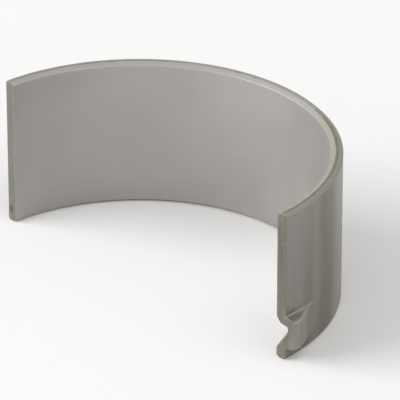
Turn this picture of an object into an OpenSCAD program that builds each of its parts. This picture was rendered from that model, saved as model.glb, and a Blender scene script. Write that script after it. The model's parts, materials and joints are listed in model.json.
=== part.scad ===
// Plain half-round engine bearing shell: a lined steel half ring with chamfered edges,
// a thinned wall beside each joint face and one pressed locating lug.
// It is drawn free, as it lies on a bench, so its ends spring a little open.
//
// Frame: the bore axis is Z, the crown points to +Y, the lug is at the +X end and Z = 0 is mid-width.
// All lengths are in millimetres and all angles in degrees.

/* [Shell] */
// Diameter of the bore once the shell is pressed into its housing
bore_d = 76.2; // [50:0.1:120]
// Thickness of the wall, steel back and lining together
wall = 2.5; // [2:0.05:4]
// Width of the shell along the journal
shell_w = 32.5; // [20:0.5:60]
// Angle by which each end of the free shell springs open
open_angle = 2.1; // [0:0.1:4]

/* [Edges] */
// Reach of the bore edge chamfer across the end face
bore_chamfer_across = 0.95; // [0.2:0.05:1.2]
// Depth of the bore edge chamfer along the bore
bore_chamfer_deep = 0.5; // [0.2:0.05:1.2]
// Size of the 45 degree chamfer on the back edges
back_chamfer = 0.45; // [0.1:0.05:0.6]

/* [Joint relief] */
// How far the wall is thinned at the joint faces
relief_deep = 0.04; // [0.01:0.01:0.12]
// Distance from the joint face over which the thinning fades out
relief_run = 9; // [4:0.5:16]

/* [Locating lug] */
// Gap between the nearer end face and the lug's hollow
lug_inset = 2.2; // [1.5:0.1:6]
// Height of the lug above the back
lug_h = 2.5; // [1.6:0.1:3.5]
// Width of the lug's crest along the journal
lug_w = 6; // [4:0.1:7]
// Flat stretch of the crest next to the joint face
lug_crest = 2; // [1:0.1:5]
// Whole run of the lug along the back
lug_run = 9; // [6:0.5:14]
// Slope of the lug's two sides
lug_draft = 8; // [0:1:15]

/* [Hollow behind the lug] */
// Width of the hollow where it opens at the joint face
hollow_mouth = 7; // [5.5:0.1:8]
// Depth of the hollow at the joint face
hollow_deep = 3.1; // [1.8:0.1:3.6]
// Width of the flat floor
hollow_floor = 1.6; // [0.5:0.1:3]
// Depth of the slope that leads from the mouth to the square flank
shoulder_deep = 1.2; // [0.4:0.1:1.6]
// Width of that slope
shoulder_w = 1.4; // [0.5:0.1:2]
// Run of the hollow along the bore
hollow_run = 8; // [5:0.5:12]

/* [Hidden] */
$fn = 180;
margin = 1;

// A shell that springs open keeps the length of its mid-wall arc, so the arc has a larger radius
// and ends short of the half circle.
mid_wall_r = (bore_d + wall) / 2 * 90 / (90 - open_angle);
bore_r = mid_wall_r - wall / 2;
back_r = mid_wall_r + wall / 2;
half_w = shell_w / 2;

// What belongs to a joint face is drawn with that face on Y = 0 and then turned by open_angle.
// The relief is an arc about a point on the joint plane. It is relief_deep outside the bore
// at the joint face and meets the bore again at relief_run.
relief_rise = bore_r + relief_deep - sqrt(bore_r ^ 2 - relief_run ^ 2);
relief_r = (relief_run ^ 2 + relief_rise ^ 2) / (2 * relief_rise);
relief_x = bore_r + relief_deep - relief_r;

// The hollow is the mark of a punch that enters at the joint face and leans so that it runs out
// at the bore. Depths across the leaning punch are shorter than those at the joint face.
hollow_low_z = -half_w + lug_inset;
hollow_top_z = hollow_low_z + hollow_mouth;
flank_z = hollow_top_z - shoulder_w;
punch_start_x = bore_r + hollow_deep;
punch_end_x = sqrt(bore_r ^ 2 - hollow_run ^ 2);
punch_tilt = atan((punch_start_x - punch_end_x) / hollow_run);
punch_run = hollow_run / cos(punch_tilt);

// The lug's upper side is level with the upper edge of the hollow.
lug_z = hollow_top_z - lug_w / 2;
lug_top_x = back_r + lug_h;
lug_end_x = sqrt(back_r ^ 2 - lug_run ^ 2);
lug_foot_x = sqrt(bore_r ^ 2 - lug_run ^ 2);
lug_side = (lug_top_x - lug_foot_x) * tan(lug_draft);

// Cross-section of the wall, from the bore outwards
module wall_section() {
    polygon([
        [bore_r, -half_w + bore_chamfer_deep],
        [bore_r + bore_chamfer_across, -half_w],
        [back_r - back_chamfer, -half_w],
        [back_r, -half_w + back_chamfer],
        [back_r, half_w - back_chamfer],
        [back_r - back_chamfer, half_w],
        [bore_r + bore_chamfer_across, half_w],
        [bore_r, half_w - bore_chamfer_deep]
    ]);
}

// Lug seen along the bore axis: flat crest, then a ramp down to the back
module lug_plan() {
    polygon([
        [lug_foot_x, 0],
        [lug_top_x, 0],
        [lug_top_x, lug_crest],
        [lug_end_x, lug_run],
        [lug_foot_x, lug_run]
    ]);
}

// Lug seen from the joint face: straight sides that lean in towards the crest
module lug_front() {
    polygon([
        [lug_foot_x, -lug_w / 2 - lug_side],
        [lug_top_x, -lug_w / 2],
        [lug_top_x, lug_w / 2],
        [lug_foot_x, lug_w / 2 + lug_side]
    ]);
}

// The lug's root lies in the middle of the wall
module lug() {
    translate([0, 0, lug_z])
        difference() {
            intersection() {
                translate([0, 0, -half_w])
                    linear_extrude(shell_w)
                        lug_plan();
                translate([0, lug_run + margin, 0])
                    rotate([90, 0, 0])
                        linear_extrude(lug_run + 2 * margin)
                            lug_front();
            }
            translate([0, 0, -half_w - margin])
                cylinder(r = mid_wall_r, h = shell_w + 2 * margin);
        }
}

// Section across the punch, measured back from its nose: a long slope on the side of the end face,
// the flat nose, then the square flank and its shoulder
module punch_section() {
    mouth_x = -hollow_deep * cos(punch_tilt);
    shoulder_x = mouth_x + shoulder_deep * cos(punch_tilt);
    polygon([
        [mouth_x - margin, hollow_low_z],
        [mouth_x, hollow_low_z],
        [0, flank_z - hollow_floor],
        [0, flank_z],
        [shoulder_x, flank_z],
        [mouth_x, hollow_top_z],
        [mouth_x - margin, hollow_top_z]
    ]);
}

module lug_hollow() {
    translate([punch_start_x, 0, 0])
        rotate([0, 0, punch_tilt])
            translate([0, punch_run + margin, 0])
                rotate([90, 0, 0])
                    linear_extrude(punch_run + 3 * margin)
                        punch_section();
}

// Thinned wall beside one joint face; side is 1 on the lug's end and -1 on the other
module joint_relief(side) {
    translate([side * relief_x, 0, -half_w - margin])
        cylinder(r = relief_r, h = shell_w + 2 * margin);
}

// Turns what is drawn with the joint face on Y = 0 to its place; side as above
module at_joint_face(side) {
    rotate([0, 0, side * open_angle])
        children();
}

module bearing_shell() {
    color([0.63, 0.61, 0.59])
        difference() {
            union() {
                rotate([0, 0, open_angle])
                    rotate_extrude(angle = 180 - 2 * open_angle)
                        wall_section();
                at_joint_face(1)
                    lug();
            }
            for (side = [-1, 1])
                at_joint_face(side)
                    joint_relief(side);
            at_joint_face(1)
                lug_hollow();
        }
}

bearing_shell();
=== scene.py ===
import json
import math

import bpy
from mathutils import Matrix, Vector


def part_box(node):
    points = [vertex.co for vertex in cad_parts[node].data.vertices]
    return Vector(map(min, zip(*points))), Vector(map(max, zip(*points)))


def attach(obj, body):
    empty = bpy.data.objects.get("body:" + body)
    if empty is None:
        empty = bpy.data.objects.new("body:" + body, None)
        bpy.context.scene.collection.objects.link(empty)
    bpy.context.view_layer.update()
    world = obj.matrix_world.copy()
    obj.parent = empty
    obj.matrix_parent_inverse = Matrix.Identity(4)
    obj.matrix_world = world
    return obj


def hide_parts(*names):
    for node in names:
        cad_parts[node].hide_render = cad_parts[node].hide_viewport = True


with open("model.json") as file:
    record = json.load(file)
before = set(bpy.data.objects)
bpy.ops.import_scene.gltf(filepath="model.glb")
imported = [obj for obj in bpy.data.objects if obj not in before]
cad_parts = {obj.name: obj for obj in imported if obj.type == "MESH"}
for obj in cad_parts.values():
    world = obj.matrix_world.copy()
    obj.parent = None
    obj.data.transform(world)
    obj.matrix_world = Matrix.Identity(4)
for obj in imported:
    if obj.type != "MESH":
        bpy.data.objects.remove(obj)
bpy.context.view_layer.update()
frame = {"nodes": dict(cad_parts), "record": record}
print("frame loaded:", ", ".join(frame["nodes"]))

mm = 0.001

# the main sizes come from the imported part, the finer ones are beside the piece that they shape
low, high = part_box("bearing_shell")
mounts = {mount["name"]: mount for mount in frame["record"]["mounts"]}
journal, lugFace = mounts["journal_seat"], mounts["joint_face_lug"]
boreR = journal["dims"]["r_mm"] * mm
backR = high.y
halfWidth = high.z
floorZ = low.z
openAngle = math.atan2(lugFace["pos_m"][1], lugFace["pos_m"][0])  # both ends spring open by this much
arcAngle = math.pi - 2 * openAngle
lugTopX = high.x / math.cos(openAngle)  # measured along the joint face


# shader maths: a wire is a socket that takes part in Python sums
class Wire:
    def __init__(self, tree, socket):
        self.tree = tree
        self.socket = socket

    def maths(self, operation, *others):
        return self.tree.add("ShaderNodeMath", {"operation": operation}, [self, *others])

    def clamped(self):
        return self.tree.add("ShaderNodeClamp", sockets=[self])

    def __add__(self, other):
        return self.maths("ADD", other)

    __radd__ = __add__

    def __sub__(self, other):
        return self.maths("SUBTRACT", other)

    def __rsub__(self, other):
        return self.tree.add("ShaderNodeMath", {"operation": "SUBTRACT"}, [other, self])

    def __mul__(self, other):
        return self.maths("MULTIPLY", other)

    __rmul__ = __mul__


class Tree:
    def __init__(self, nodeTree):
        self.nodeTree = nodeTree
        nodeTree.nodes.clear()

    # one method for every node: its type, its settings, then the values or links of its sockets
    def add(self, kind, settings=None, sockets=(), outlet=0):
        node = self.nodeTree.nodes.new(kind)
        for name, value in (settings or {}).items():
            setattr(node, name, value)
        named = sockets.items() if isinstance(sockets, dict) else enumerate(sockets)
        for key, value in named:
            if isinstance(value, Wire):
                self.nodeTree.links.new(value.socket, node.inputs[key])
            else:
                node.inputs[key].default_value = value
        if isinstance(outlet, tuple):
            return [Wire(self, node.outputs[key]) for key in outlet]
        return Wire(self, node.outputs[outlet]) if len(node.outputs) else None

    # a Mix node shares names between its kinds, so its colour sockets go by number
    def mixColour(self, factor, first, second):
        return self.add("ShaderNodeMix", {"data_type": "RGBA"}, {0: factor, 6: first, 7: second}, outlet=2)

    # 0 below start, 1 above end
    def step(self, value, start, end):
        sockets = {"Value": value, "From Min": start, "From Max": end}
        return self.add("ShaderNodeMapRange", {"interpolation_type": "SMOOTHSTEP"}, sockets)

    # noise around 0, from about -0.5 to 0.5, with so many features a millimetre along each direction
    def noise(self, spot, perMm, detail, rough):
        parts = [part * rate for part, rate in zip(spot, perMm)]
        vector = self.add("ShaderNodeCombineXYZ", sockets=parts)
        sockets = {"Vector": vector, "Scale": 1.0, "Detail": detail, "Roughness": rough}
        return self.add("ShaderNodeTexNoise", sockets=sockets) - 0.5


def rgb(red, green, blue):
    return (red, green, blue, 1.0)


def addObject(name, data):
    piece = bpy.data.objects.new(name, data)
    bpy.context.scene.collection.objects.link(piece)
    return piece


shell = {
    "boreChamferAcross": 0.95 * mm,
    "boreChamferDeep": halfWidth - journal["dims"]["length_mm"] * mm / 2,
    "backChamfer": 0.45 * mm,
    "reliefDeep": 0.04 * mm,   # thinned wall beside the joint faces
    "reliefRun": 9 * mm,
    "lugInset": 2.2 * mm,      # gap between the end face and the hollow
    "lugWidth": 6 * mm,
    "lugCrest": 2 * mm,
    "lugRun": 9 * mm,
    "lugSide": 0.7 * mm,       # width of each sloping side
    "lugReach": 0.5,           # angle from the joint face past which the wall is plain
    "hollowMouth": 7 * mm,
    "hollowDeep": 3.1 * mm,
    "hollowFloor": 1.6 * mm,
    "hollowRun": 8 * mm,
    "shoulderDeep": 1.2 * mm,
    "shoulderWidth": 1.4 * mm,
    "flankLean": 0.3 * mm,     # width that the steep flank takes up
    "lip": 0.45 * mm,          # rounding where the pressed metal turns
    "edgeRound": 0.07 * mm,    # broken edges
    "edgeSteps": 4,            # facets round a broken edge
    "flatSteps": 3,            # facets across a chamfer or an end face
    "fineStep": 0.12 * mm,     # mesh steps at the lug
    "fineMargin": 0.9 * mm,    # they go on so far past the hollow
    "wideStep": 1.0 * mm,      # mesh steps on the plain wall
    "stepGrowth": 1.25,        # from one step to the next between the two
    "lastStep": 0.6,           # smallest share of a step that the last one may be
    "normalWeight": 100,       # pull of the larger faces on the normals
}
hollowLow = -halfWidth + shell["lugInset"]
hollowTop = hollowLow + shell["hollowMouth"]
lugZ = hollowTop - shell["lugWidth"] / 2

# the relief is an arc about a point on the joint plane that meets the bore again after its run
reliefRise = boreR + shell["reliefDeep"] - math.sqrt(boreR ** 2 - shell["reliefRun"] ** 2)
reliefR = (shell["reliefRun"] ** 2 + reliefRise ** 2) / (2 * reliefRise)
reliefX = boreR + shell["reliefDeep"] - reliefR

boreSide, backSide = 0, 4  # among the sides of the wall's outline
liningZone, endZone, jointZone, backZone = range(4)  # the order of the finishes on the mesh


def smoothMax(a, b, width):
    h = min(max(0.5 + 0.5 * (a - b) / width, 0.0), 1.0)
    return b + (a - b) * h + width * h * (1 - h)


def smoothMin(a, b, width):
    return -smoothMax(-a, -b, width)


def smoothStep(value):
    value = min(max(value, 0.0), 1.0)
    return value * value * (3 - 2 * value)


# depth of the punched hollow at the joint face: long slope, floor, steep flank and shoulder
def hollowDepth(z):
    deep, shoulder, lean = shell["hollowDeep"], shell["shoulderDeep"], shell["flankLean"]
    flank = hollowTop - shell["shoulderWidth"]
    slope = deep * (z - hollowLow) / (flank - shell["hollowFloor"] - hollowLow)
    steep = deep - (deep - shoulder) * (z - flank + lean / 2) / lean
    lead = shoulder * (hollowTop - z) / shell["shoulderWidth"]
    upper = smoothMax(steep, lead, shell["lip"])
    return smoothMin(smoothMin(slope, upper, shell["lip"]), deep, shell["lip"])


# radius of the bore at an angle from the lug's joint face: plain arc, relief and the punched hollow
def boreAt(angle, z):
    near = min(angle, arcAngle - angle)
    relief = math.cos(near) * reliefX + math.sqrt(reliefR ** 2 - (reliefX * math.sin(near)) ** 2)
    radius = max(boreR, relief)
    if angle > shell["lugReach"]:
        return radius
    runOut = math.sqrt(boreR ** 2 - shell["hollowRun"] ** 2)
    slope = (boreR + shell["hollowDeep"] - runOut) / shell["hollowRun"]
    scoop = (boreR + hollowDepth(z)) / (math.cos(angle) + slope * math.sin(angle))
    return smoothMax(radius, scoop, shell["lip"])


# radius of the back: plain arc and the lug, a flat crest with a ramp behind it
def backAt(angle, z):
    off = abs(z - lugZ)
    foot = shell["lugWidth"] / 2 + shell["lugSide"]
    if off > foot or angle > shell["lugReach"]:
        return backR
    endX = math.sqrt(backR ** 2 - shell["lugRun"] ** 2)
    slope = (lugTopX - endX) / (shell["lugRun"] - shell["lugCrest"])
    crest = lugTopX / math.cos(angle)
    ramp = (lugTopX + slope * shell["lugCrest"]) / (math.cos(angle) + slope * math.sin(angle))
    height = smoothMax(smoothMin(crest, ramp, shell["lip"]) - backR, 0.0, shell["lip"])
    return backR + height * smoothStep((foot - off) / shell["lugSide"])


# steps from start to end, fine up to fineEnd and widening after it
def gradedSteps(start, fineEnd, end):
    fineCount = round((fineEnd - start) / shell["fineStep"])
    places = [start + (fineEnd - start) * i / fineCount for i in range(fineCount)]
    at, step = fineEnd, shell["fineStep"]
    while at < end - step * shell["lastStep"]:
        places.append(at)
        step = min(step * shell["stepGrowth"], shell["wideStep"])
        at += step
    return places + [end]


def between(start, end, share):
    return start[0] + (end[0] - start[0]) * share, start[1] + (end[1] - start[1]) * share


# points round one broken edge of the wall, given with its two neighbours
def brokenEdge(previous, here, following):
    before = (previous - here).normalized()
    after = (following - here).normalized()
    half = before.angle(after) / 2
    reach = shell["edgeRound"] / math.tan(half)
    centre = here + (before + after).normalized() * shell["edgeRound"] / math.sin(half)
    first = here + before * reach - centre
    last = here + after * reach - centre
    turn = -first.angle_signed(last)
    points = []
    for k in range(shell["edgeSteps"] + 1):
        bend = turn * k / shell["edgeSteps"]
        cos, sin = math.cos(bend), math.sin(bend)
        points.append((centre.x + first.x * cos - first.y * sin, centre.y + first.x * sin + first.y * cos))
    return points


# outline of the wall as (radius, z, side); the sides run bore, chamfer, end face, chamfer, back and so on
def wallOutline():
    across, deep, back = shell["boreChamferAcross"], shell["boreChamferDeep"], shell["backChamfer"]
    corners = [
        Vector((boreR, -halfWidth + deep)), Vector((boreR, halfWidth - deep)),
        Vector((boreR + across, halfWidth)), Vector((backR - back, halfWidth)),
        Vector((backR, halfWidth - back)), Vector((backR, -halfWidth + back)),
        Vector((backR - back, -halfWidth)), Vector((boreR + across, -halfWidth)),
    ]
    count = len(corners)
    bends = [brokenEdge(corners[i - 1], corners[i], corners[(i + 1) % count]) for i in range(count)]
    boreLow, boreTop = bends[boreSide][-1][1], bends[boreSide + 1][0][1]
    heights = gradedSteps(boreLow, hollowTop + shell["fineMargin"], boreTop)
    rising = [(height - boreLow) / (boreTop - boreLow) for height in heights]
    falling = [1 - share for share in reversed(rising)]
    even = [k / shell["flatSteps"] for k in range(shell["flatSteps"] + 1)]
    outline = []
    for side in range(count):
        bend = bends[(side + 1) % count]
        start, end = bends[side][-1], bend[0]
        if side == boreSide:
            run = [(boreR, between(start, end, share)[1]) for share in rising]
        elif side == backSide:
            run = [(backR, between(start, end, share)[1]) for share in falling]
        else:
            run = [between(start, end, share) for share in even]
        outline += [(r, z, side) for r, z in run + bend[1:-1]]
    return outline


# the outline at one angle, pressed out at the lug, then drawn in by so much all round
def pressedOutline(outline, angle, drawIn):
    points = []
    for r, z, _ in outline:
        wallPart = min(max((r - boreR) / (backR - boreR), 0.0), 1.0)
        inner, outer = boreAt(angle, z), backAt(angle, z)
        points.append(Vector((inner + (outer - inner) * wallPart, z)))
    if drawIn <= 0:
        return points
    drawn = []
    for i, point in enumerate(points):
        along = points[(i + 1) % len(points)] - points[i - 1]
        inward = Vector((along.y, -along.x)).normalized()
        drawn.append(point + inward * drawIn)
    return drawn


# rings of the mesh as (angle from the lug's joint face, how far the outline is drawn in there)
def shellRings():
    bevel, steps = shell["edgeRound"], shell["edgeSteps"]
    turns = [k * math.pi / 2 / steps for k in range(steps, 0, -1)]
    near = [(bevel * (1 - math.sin(turn)) / boreR, bevel * (1 - math.cos(turn))) for turn in turns]
    far = [(arcAngle - angle, drawIn) for angle, drawIn in reversed(near)]
    runs = gradedSteps(bevel, shell["lugRun"] + shell["fineMargin"], arcAngle * boreR - bevel)
    return near + [(run / boreR, 0.0) for run in runs] + far


# where a point of the shell is: distance along the arc from +X, height and radius, in millimetres
def shellSpot(tree):
    place = tree.add("ShaderNodeTexCoord", outlet="Object")
    x, y, z = tree.add("ShaderNodeSeparateXYZ", sockets=[place], outlet=("X", "Y", "Z"))
    arc = y.maths("ARCTAN2", x) * (boreR / mm)
    radius = (x * x + y * y).maths("SQRT") * (1 / mm)
    return arc, z * (1 / mm), radius


def newFinish(name):
    material = bpy.data.materials.new(name)
    material.use_nodes = True
    return material, Tree(material.node_tree)


def closeFinish(tree, colour, roughness, height, bump):
    normal = tree.add("ShaderNodeBump", sockets={"Strength": 1.0, "Distance": bump, "Height": height})
    sockets = {"Base Color": colour, "Roughness": roughness, "Metallic": 1.0, "Normal": normal}
    surface = tree.add("ShaderNodeBsdfPrincipled", sockets=sockets)
    tree.add("ShaderNodeOutputMaterial", sockets={"Surface": surface})


# in the finishes, places are in the millimetres of shellSpot, and a pattern of noise has its features a
# millimetre along arc, height and radius, then its detail and its roughness
lining = {
    "dark": rgb(0.348, 0.327, 0.313),
    "light": rgb(0.473, 0.451, 0.434),
    "paleTone": rgb(0.48, 0.462, 0.442),
    "pressed": rgb(0.265, 0.25, 0.235),
    "roughness": 0.55,
    "bump": 0.004 * mm,
    "rubbedWidth": 0.35,          # beside the chamfers
    "pressedStarts": (0.1, 0.9),  # depth below the bore
    "cloud": ((0.07, 0.06, 0.0), 3.0, 0.5),
    "lines": ((0.004, 2.2, 0.0), 3.0, 0.6),
    "fineLines": ((0.012, 11.0, 0.0), 2.0, 0.6),
    "scuff": ((0.25, 1.4, 0.6), 3.0, 0.6),
}


# satin bearing lining with faint boring lines, rubbed along its edges and duller in the pressed hollow
def liningFinish():
    material, tree = newFinish("bore_lining")
    spot = shellSpot(tree)
    _, z, radius = spot
    cloud = tree.noise(spot, *lining["cloud"])
    lines = tree.noise(spot, *lining["lines"])
    fineLines = tree.noise(spot, *lining["fineLines"])
    scuff = tree.noise(spot, *lining["scuff"])
    tone = (0.5 + cloud * 0.7 + lines * 0.4 + fineLines * 0.25).clamped()
    colour = tree.mixColour(tone, lining["dark"], lining["light"])
    edge = (halfWidth - shell["boreChamferDeep"]) / mm
    paleTone = tree.step(z.maths("ABSOLUTE"), edge - lining["rubbedWidth"], edge)
    colour = tree.mixColour(paleTone * 0.4, colour, lining["paleTone"])
    pressed = tree.step(radius - boreR / mm, *lining["pressedStarts"])
    colour = tree.mixColour((pressed * (0.62 + scuff * 1.1)).clamped(), colour, lining["pressed"])
    roughness = lining["roughness"] + cloud * 0.1 + lines * 0.1 - paleTone * 0.08 + pressed * 0.06
    closeFinish(tree, colour, roughness, lines * 0.6 + fineLines, lining["bump"])
    return material


endFace = {
    "chamfer": rgb(0.34, 0.329, 0.305),
    "chamferLight": rgb(0.425, 0.411, 0.386),
    "chamferOlive": rgb(0.374, 0.362, 0.293),
    "steel": rgb(0.235, 0.226, 0.20),
    "steelLight": rgb(0.33, 0.317, 0.295),
    "tarnish": rgb(0.205, 0.20, 0.136),
    "speck": rgb(0.10, 0.095, 0.075),
    "backEdge": rgb(0.31, 0.30, 0.262),
    "roughness": 0.62,
    "bump": 0.004 * mm,
    "tarnishFades": (37.0, 51.0),  # along the arc
    # painted highlight: the arc over which the steel band is painted paler
    "highlightStarts": (44.0, 51.0),
    "highlightFades": (80.0, 90.0),
    "steelStarts": (-0.02, 0.14),  # from the bore chamfer
    "backStarts": (-0.52, -0.24),  # from the back chamfer
    "blotchStarts": (0.06, 0.2),   # levels of noise
    "speckStarts": (0.17, 0.22),
    "patch": ((0.22, 0.03, 0.4), 3.0, 0.6),
    "mottle": ((0.9, 0.1, 1.1), 3.0, 0.6),
    "rings": ((0.012, 1.5, 9.0), 2.0, 0.6),
    "specks": ((1.8, 0.2, 2.0), 2.0, 0.5),
}


# end faces: turned chamfers on both sides of a duller steel band, which is tarnished towards the lug; past
# the tarnish, over the top of the rim, the band is painted paler, a painted highlight where the light falls
# brightest
def endFaceFinish():
    material, tree = newFinish("turned_end_face")
    spot = shellSpot(tree)
    arc, _, radius = spot
    patch = tree.noise(spot, *endFace["patch"])
    mottle = tree.noise(spot, *endFace["mottle"])
    rings = tree.noise(spot, *endFace["rings"])
    specks = tree.noise(spot, *endFace["specks"])
    tone = (0.5 + patch * 1.4 + rings * 0.5).clamped()
    steel = tree.mixColour(tone, endFace["steel"], endFace["steelLight"])
    # painted highlight: the steel band is painted paler over the top of the rim, where the light falls
    # brightest
    highlightArc = arc + patch * 12.0
    paleTone = tree.step(highlightArc, *endFace["highlightStarts"]) - tree.step(highlightArc, *endFace["highlightFades"])
    steel = tree.mixColour(paleTone * 0.55, steel, endFace["chamferLight"])
    fresh = tree.step(arc + patch * 20.0, *endFace["tarnishFades"])
    blotch = tree.step(mottle, *endFace["blotchStarts"])
    tarnish = ((1 - fresh) * (0.72 + mottle * 1.6) + fresh * blotch * 0.5).clamped()
    steel = tree.mixColour(tarnish, steel, endFace["tarnish"])
    speck = tree.step(specks + (1 - fresh) * 0.06, *endFace["speckStarts"])
    steel = tree.mixColour(speck * 0.75, steel, endFace["speck"])
    cut = tree.mixColour((0.5 + rings + patch * 0.6).clamped(), endFace["chamfer"], endFace["chamferLight"])
    olive = ((1 - fresh) * (0.7 + mottle * 0.8)).clamped()
    cut = tree.mixColour(olive, cut, endFace["chamferOlive"])
    pastCut = radius - (boreR + shell["boreChamferAcross"]) / mm
    onSteel = tree.step(pastCut + mottle * 0.2, *endFace["steelStarts"])
    pastSteel = radius - (backR - shell["backChamfer"]) / mm
    onBack = tree.step(pastSteel + mottle * 0.25, *endFace["backStarts"])
    colour = tree.mixColour(onSteel, cut, steel)
    colour = tree.mixColour(onBack * 0.85, colour, endFace["backEdge"])
    roughness = endFace["roughness"] + rings * 0.12 + patch * 0.1 + tarnish * onSteel * 0.06
    closeFinish(tree, colour, roughness, rings, endFace["bump"])
    return material


jointFace = {
    "lugEndDark": rgb(0.15, 0.143, 0.114),
    "steel": rgb(0.205, 0.195, 0.172),
    "worn": rgb(0.29, 0.274, 0.25),
    "lining": rgb(0.31, 0.291, 0.265),
    "olive": rgb(0.262, 0.24, 0.178),
    "darkSpot": rgb(0.115, 0.10, 0.075),
    "roughness": 0.42,
    "bump": 0.005 * mm,
    "lugEndFades": (20.0, 60.0),   # along the arc, which tells one joint face from the other
    "lugEndDarkStarts": (-14.0, 12.0),   # height
    "oliveStarts": (11.5, 16.5),   # height from mid-width, up or down
    "liningThick": 0.45,
    "liningFades": (-0.08, 0.08),  # from that thickness
    "darkSpotAt": (40.7, -13.5),      # radius and height of a dark spot on the plain end
    "darkSpotSquash": (1.4, 0.6),     # makes the spot narrow across the wall and long up it
    "darkSpotFades": (0.1, 1.1),
    "patch": ((0.02, 0.14, 0.5), 3.0, 0.6),
    "mottle": ((0.02, 0.8, 1.2), 3.0, 0.6),
    "lines": ((0.02, 0.12, 7.0), 2.0, 0.6),
    "grime": ((0.02, 1.6, 2.2), 3.0, 0.6),
}


# joint faces: broached steel with the lining as a paler strip beside the bore, darker at the lug's end and
# more so towards the top, olive towards the end faces, with a dark spot low on the plain end
def jointFaceFinish():
    material, tree = newFinish("broached_joint_face")
    spot = shellSpot(tree)
    arc, z, radius = spot
    patch = tree.noise(spot, *jointFace["patch"])
    mottle = tree.noise(spot, *jointFace["mottle"])
    lines = tree.noise(spot, *jointFace["lines"])
    grime = tree.noise(spot, *jointFace["grime"])
    tone = (0.4 + patch * 1.3 + mottle * 0.6 + lines * 0.8).clamped()
    colour = tree.mixColour(tone, jointFace["steel"], jointFace["worn"])
    lugEnd = 1 - tree.step(arc, *jointFace["lugEndFades"])
    # darker over the lug's end joint face, more so towards the top
    upper = tree.step(z + patch * 8.0, *jointFace["lugEndDarkStarts"])
    lugEndDark = (lugEnd * (0.2 + upper * 0.6 - patch * 1.2 - mottle * 0.6 - lines * 0.5)).clamped()
    colour = tree.mixColour(lugEndDark, colour, jointFace["lugEndDark"])
    pastLining = radius - (boreR / mm + jointFace["liningThick"])
    onLining = 1 - tree.step(pastLining, *jointFace["liningFades"])
    colour = tree.mixColour(onLining * (0.75 - lugEnd * 0.35), colour, jointFace["lining"])
    nearEnd = tree.step(z.maths("ABSOLUTE") + patch * 4.0 + mottle * 3.0, *jointFace["oliveStarts"])
    colour = tree.mixColour(nearEnd * 0.65, colour, jointFace["olive"])
    # a dark spot low on the plain end's joint face
    darkSpotRadius, darkSpotHeight = jointFace["darkSpotAt"]
    squashAcross, squashAlong = jointFace["darkSpotSquash"]
    across = (radius - darkSpotRadius) * squashAcross
    along = (z - darkSpotHeight) * squashAlong
    away = (across * across + along * along).maths("SQRT") + mottle * 1.4 + grime * 1.4
    darkSpot = (1 - lugEnd) * (1 - tree.step(away, *jointFace["darkSpotFades"]))
    colour = tree.mixColour(darkSpot * 0.85, colour, jointFace["darkSpot"])
    roughness = jointFace["roughness"] + patch * 0.15 + lines * 0.1
    closeFinish(tree, colour, roughness, lines, jointFace["bump"])
    return material


steelBack = {
    "grey": rgb(0.245, 0.228, 0.21),
    "olive": rgb(0.178, 0.163, 0.124),
    "brown": rgb(0.232, 0.20, 0.16),
    "bright": rgb(0.37, 0.348, 0.318),
    "darkSpot": rgb(0.14, 0.127, 0.10),
    "paleTone": rgb(0.42, 0.41, 0.38),
    "roughness": 0.40,
    "bump": 0.006 * mm,
    "crestStarts": (1.2, 2.0),    # height of the lug above the back
    "oliveStarts": (-0.08, 0.1),  # levels of noise
    "brownStarts": (0.02, 0.22),
    "pitStarts": (0.19, 0.24),
    "bands": ((0.10, 0.008, 0.0), 2.0, 0.5),
    "cloud": ((0.13, 0.05, 0.0), 2.0, 0.5),
    "streaks": ((1.1, 0.02, 0.0), 2.0, 0.5),
    "lines": ((8.0, 0.06, 0.0), 3.0, 0.7),
    "grain": ((5.0, 4.0, 5.0), 2.0, 0.6),
    "pits": ((1.7, 1.1, 0.0), 3.0, 0.6),
}


# steel back: fine drawn lines along the width over bands of grey, olive and brown, small pits, a rubbed lug
def steelBackFinish():
    material, tree = newFinish("steel_back")
    spot = shellSpot(tree)
    radius = spot[2]
    bands = tree.noise(spot, *steelBack["bands"])
    cloud = tree.noise(spot, *steelBack["cloud"])
    streaks = tree.noise(spot, *steelBack["streaks"])
    lines = tree.noise(spot, *steelBack["lines"])
    grain = tree.noise(spot, *steelBack["grain"])
    olive = tree.step(bands + streaks * 0.15, *steelBack["oliveStarts"])
    colour = tree.mixColour(olive, steelBack["grey"], steelBack["olive"])
    brown = tree.step(cloud + streaks * 0.1, *steelBack["brownStarts"])
    colour = tree.mixColour(brown * 0.7, colour, steelBack["brown"])
    bright = (0.3 - bands * 0.8 + cloud * 0.4 + streaks * 0.5 + lines * 0.8 + grain * 0.2).clamped()
    colour = tree.mixColour(bright, colour, steelBack["bright"])
    pit = tree.step(tree.noise(spot, *steelBack["pits"]), *steelBack["pitStarts"])
    colour = tree.mixColour(pit * 0.6, colour, steelBack["darkSpot"])
    crest = tree.step(radius - backR / mm, *steelBack["crestStarts"])
    colour = tree.mixColour(crest * 0.3, colour, steelBack["paleTone"])
    roughness = steelBack["roughness"] + cloud * 0.12 + lines * 0.2 + grain * 0.08 + pit * 0.1
    closeFinish(tree, colour, roughness, lines + grain * 0.5 - pit * 0.4, steelBack["bump"])
    return material


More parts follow.
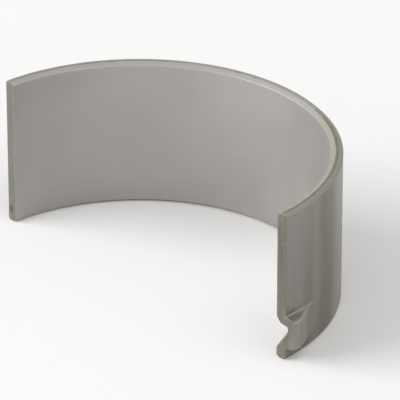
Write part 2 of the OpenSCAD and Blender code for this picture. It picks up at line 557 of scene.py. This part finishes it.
# joint face: rows from bore to back, in columns that meet the points round both chamfered ends
def capFaces(points, faces, zones, outline, base, flip):
    bore = [i for i, (r, _, side) in enumerate(outline) if side == boreSide and r == boreR]
    back = [i for i, (r, _, side) in enumerate(outline) if side == backSide and r == backR]
    back.reverse()
    over = range(bore[-1] + 1, back[-1])
    under = range(len(outline) - 1, back[0], -1)
    shares = [(outline[i][0] - boreR) / (backR - boreR) for i in over]
    grid = []
    for inner, outer in zip(bore, back):
        first, last = Vector(points[base + inner]), Vector(points[base + outer])
        middle = range(len(points), len(points) + len(shares))
        points += [tuple(first.lerp(last, share)) for share in shares]
        grid.append([base + inner, *middle, base + outer])
    rows = [[base + i for i in under], *grid, [base + i for i in over]]
    new = []
    for lower, upper in zip(rows, rows[1:]):
        # the end rows lack the first and the last point, and close with a triangle on each side
        if len(lower) < len(upper):
            new += [(upper[0], upper[1], lower[0]), (lower[-1], upper[-2], upper[-1])]
            upper = upper[1:-1]
        elif len(lower) > len(upper):
            new += [(lower[0], upper[0], lower[1]), (lower[-2], upper[-1], lower[-1])]
            lower = lower[1:-1]
        for k in range(len(lower) - 1):
            new.append((lower[k], upper[k], upper[k + 1], lower[k + 1]))
    faces += [tuple(reversed(face)) for face in new] if flip else new
    zones += [jointZone] * len(new)


def makeShell():
    outline, rings = wallOutline(), shellRings()
    count, lastRing, bevels = len(outline), len(rings) - 1, shell["edgeSteps"]
    points, faces, zones = [], [], []
    for angle, drawIn in rings:
        cos, sin = math.cos(openAngle + angle), math.sin(openAngle + angle)
        points += [(flat.x * cos, flat.x * sin, flat.y) for flat in pressedOutline(outline, angle, drawIn)]
    zoneOf = {boreSide: liningZone, backSide: backZone}
    for ring in range(lastRing):
        isBevel = ring < bevels or ring >= lastRing - bevels
        here, there = ring * count, (ring + 1) * count
        for i in range(count):
            after = (i + 1) % count
            faces.append((here + i, here + after, there + after, there + i))
            zones.append(jointZone if isBevel else zoneOf.get(outline[i][2], endZone))
    capFaces(points, faces, zones, outline, 0, True)
    capFaces(points, faces, zones, outline, lastRing * count, False)
    mesh = bpy.data.meshes.new("bearing_shell_finished")
    mesh.from_pydata(points, [], faces)
    for finish in (liningFinish(), endFaceFinish(), jointFaceFinish(), steelBackFinish()):
        mesh.materials.append(finish)
    mesh.polygons.foreach_set("material_index", zones)
    mesh.polygons.foreach_set("use_smooth", [True] * len(faces))
    mesh.validate()
    mesh.update()
    piece = addObject("bearing_shell_finished", mesh)
    normals = piece.modifiers.new("even_normals", "WEIGHTED_NORMAL")
    normals.mode = "FACE_AREA"
    normals.weight = shell["normalWeight"]
    return piece


floor = {
    "colour": rgb(0.96, 0.96, 0.955),
    "roughness": 0.9,
    "specular": 0.0,
    "reach": 6.0,
}


def makeFloor():
    reach = floor["reach"]
    corners = [(-reach, -reach), (reach, -reach), (reach, reach), (-reach, reach)]
    mesh = bpy.data.meshes.new("floor")
    mesh.from_pydata([(x, y, floorZ) for x, y in corners], [], [(0, 1, 2, 3)])
    material, tree = newFinish("pale_floor")
    sockets = {
        "Base Color": floor["colour"],
        "Roughness": floor["roughness"],
        "Specular IOR Level": floor["specular"],
    }
    surface = tree.add("ShaderNodeBsdfPrincipled", sockets=sockets)
    tree.add("ShaderNodeOutputMaterial", sockets={"Surface": surface})
    mesh.materials.append(material)
    piece = addObject("floor", mesh)


# stands an object off the aim, on the side that the angles in degrees give, and turns it to look there
def lookFrom(piece, aim, azimuth, elevation, distance):
    around, up = math.radians(azimuth), math.radians(elevation)
    away = Vector((math.sin(around) * math.cos(up), -math.cos(around) * math.cos(up), math.sin(up)))
    piece.location = aim + away * distance
    piece.rotation_mode = "QUATERNION"
    piece.rotation_quaternion = (-away).to_track_quat("-Z", "Y")


studio = {
    "ambient": 0.56,  # strength of the white surroundings as a light
    "lamps": [
        # name, azimuth, elevation, distance, size, power
        ("key_lamp", 318.0, 18.0, 3.0, 2.7, 107.0),
        ("side_lamp", 90.0, 45.0, 3.0, 3.0, 23.4),
    ],
}


def makeLight():
    world = bpy.data.worlds.new("white_studio")
    world.use_nodes = True
    bpy.context.scene.world = world
    tree = Tree(world.node_tree)
    outlets = ("Is Camera Ray", "Is Glossy Ray", "Is Transmission Ray")
    camera, glossy, through = tree.add("ShaderNodeLightPath", outlet=outlets)
    seen = camera.maths("MAXIMUM", glossy.maths("MAXIMUM", through))
    strength = studio["ambient"] + seen * (1 - studio["ambient"])
    background = tree.add("ShaderNodeBackground", sockets={"Color": rgb(1, 1, 1), "Strength": strength})
    tree.add("ShaderNodeOutputWorld", sockets={"Surface": background})
    for name, azimuth, elevation, distance, size, power in studio["lamps"]:
        lamp = bpy.data.lights.new(name, "AREA")
        lamp.size = size
        lamp.energy = power
        lookFrom(addObject(name, lamp), Vector(), azimuth, elevation, distance)


lens = {
    "azimuth": 46.54,
    "elevation": 27.63,
    "distance": 0.929,
    "aim": Vector((7.42, 10.50, 3.51)) * mm,
    "focal": 412.5,  # in millimetres, as is the square sensor
    "sensor": 36.0,
    "clip": (0.01, 50.0),
}


def makeCamera():
    camera = bpy.data.cameras.new("camera")
    camera.sensor_width = lens["sensor"]
    camera.lens = lens["focal"]
    camera.clip_start, camera.clip_end = lens["clip"]
    holder = addObject("camera", camera)
    lookFrom(holder, lens["aim"], lens["azimuth"], lens["elevation"], lens["distance"])
    bpy.context.scene.camera = holder


makeCamera()
finished = makeShell()
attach(finished, "root")
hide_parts("bearing_shell")
print("shell made:", len(finished.data.polygons), "faces")
makeFloor()
makeLight()
bpy.context.scene.view_settings.view_transform = "Standard"
print("floor, light and camera set")

bpy.context.view_layer.update()
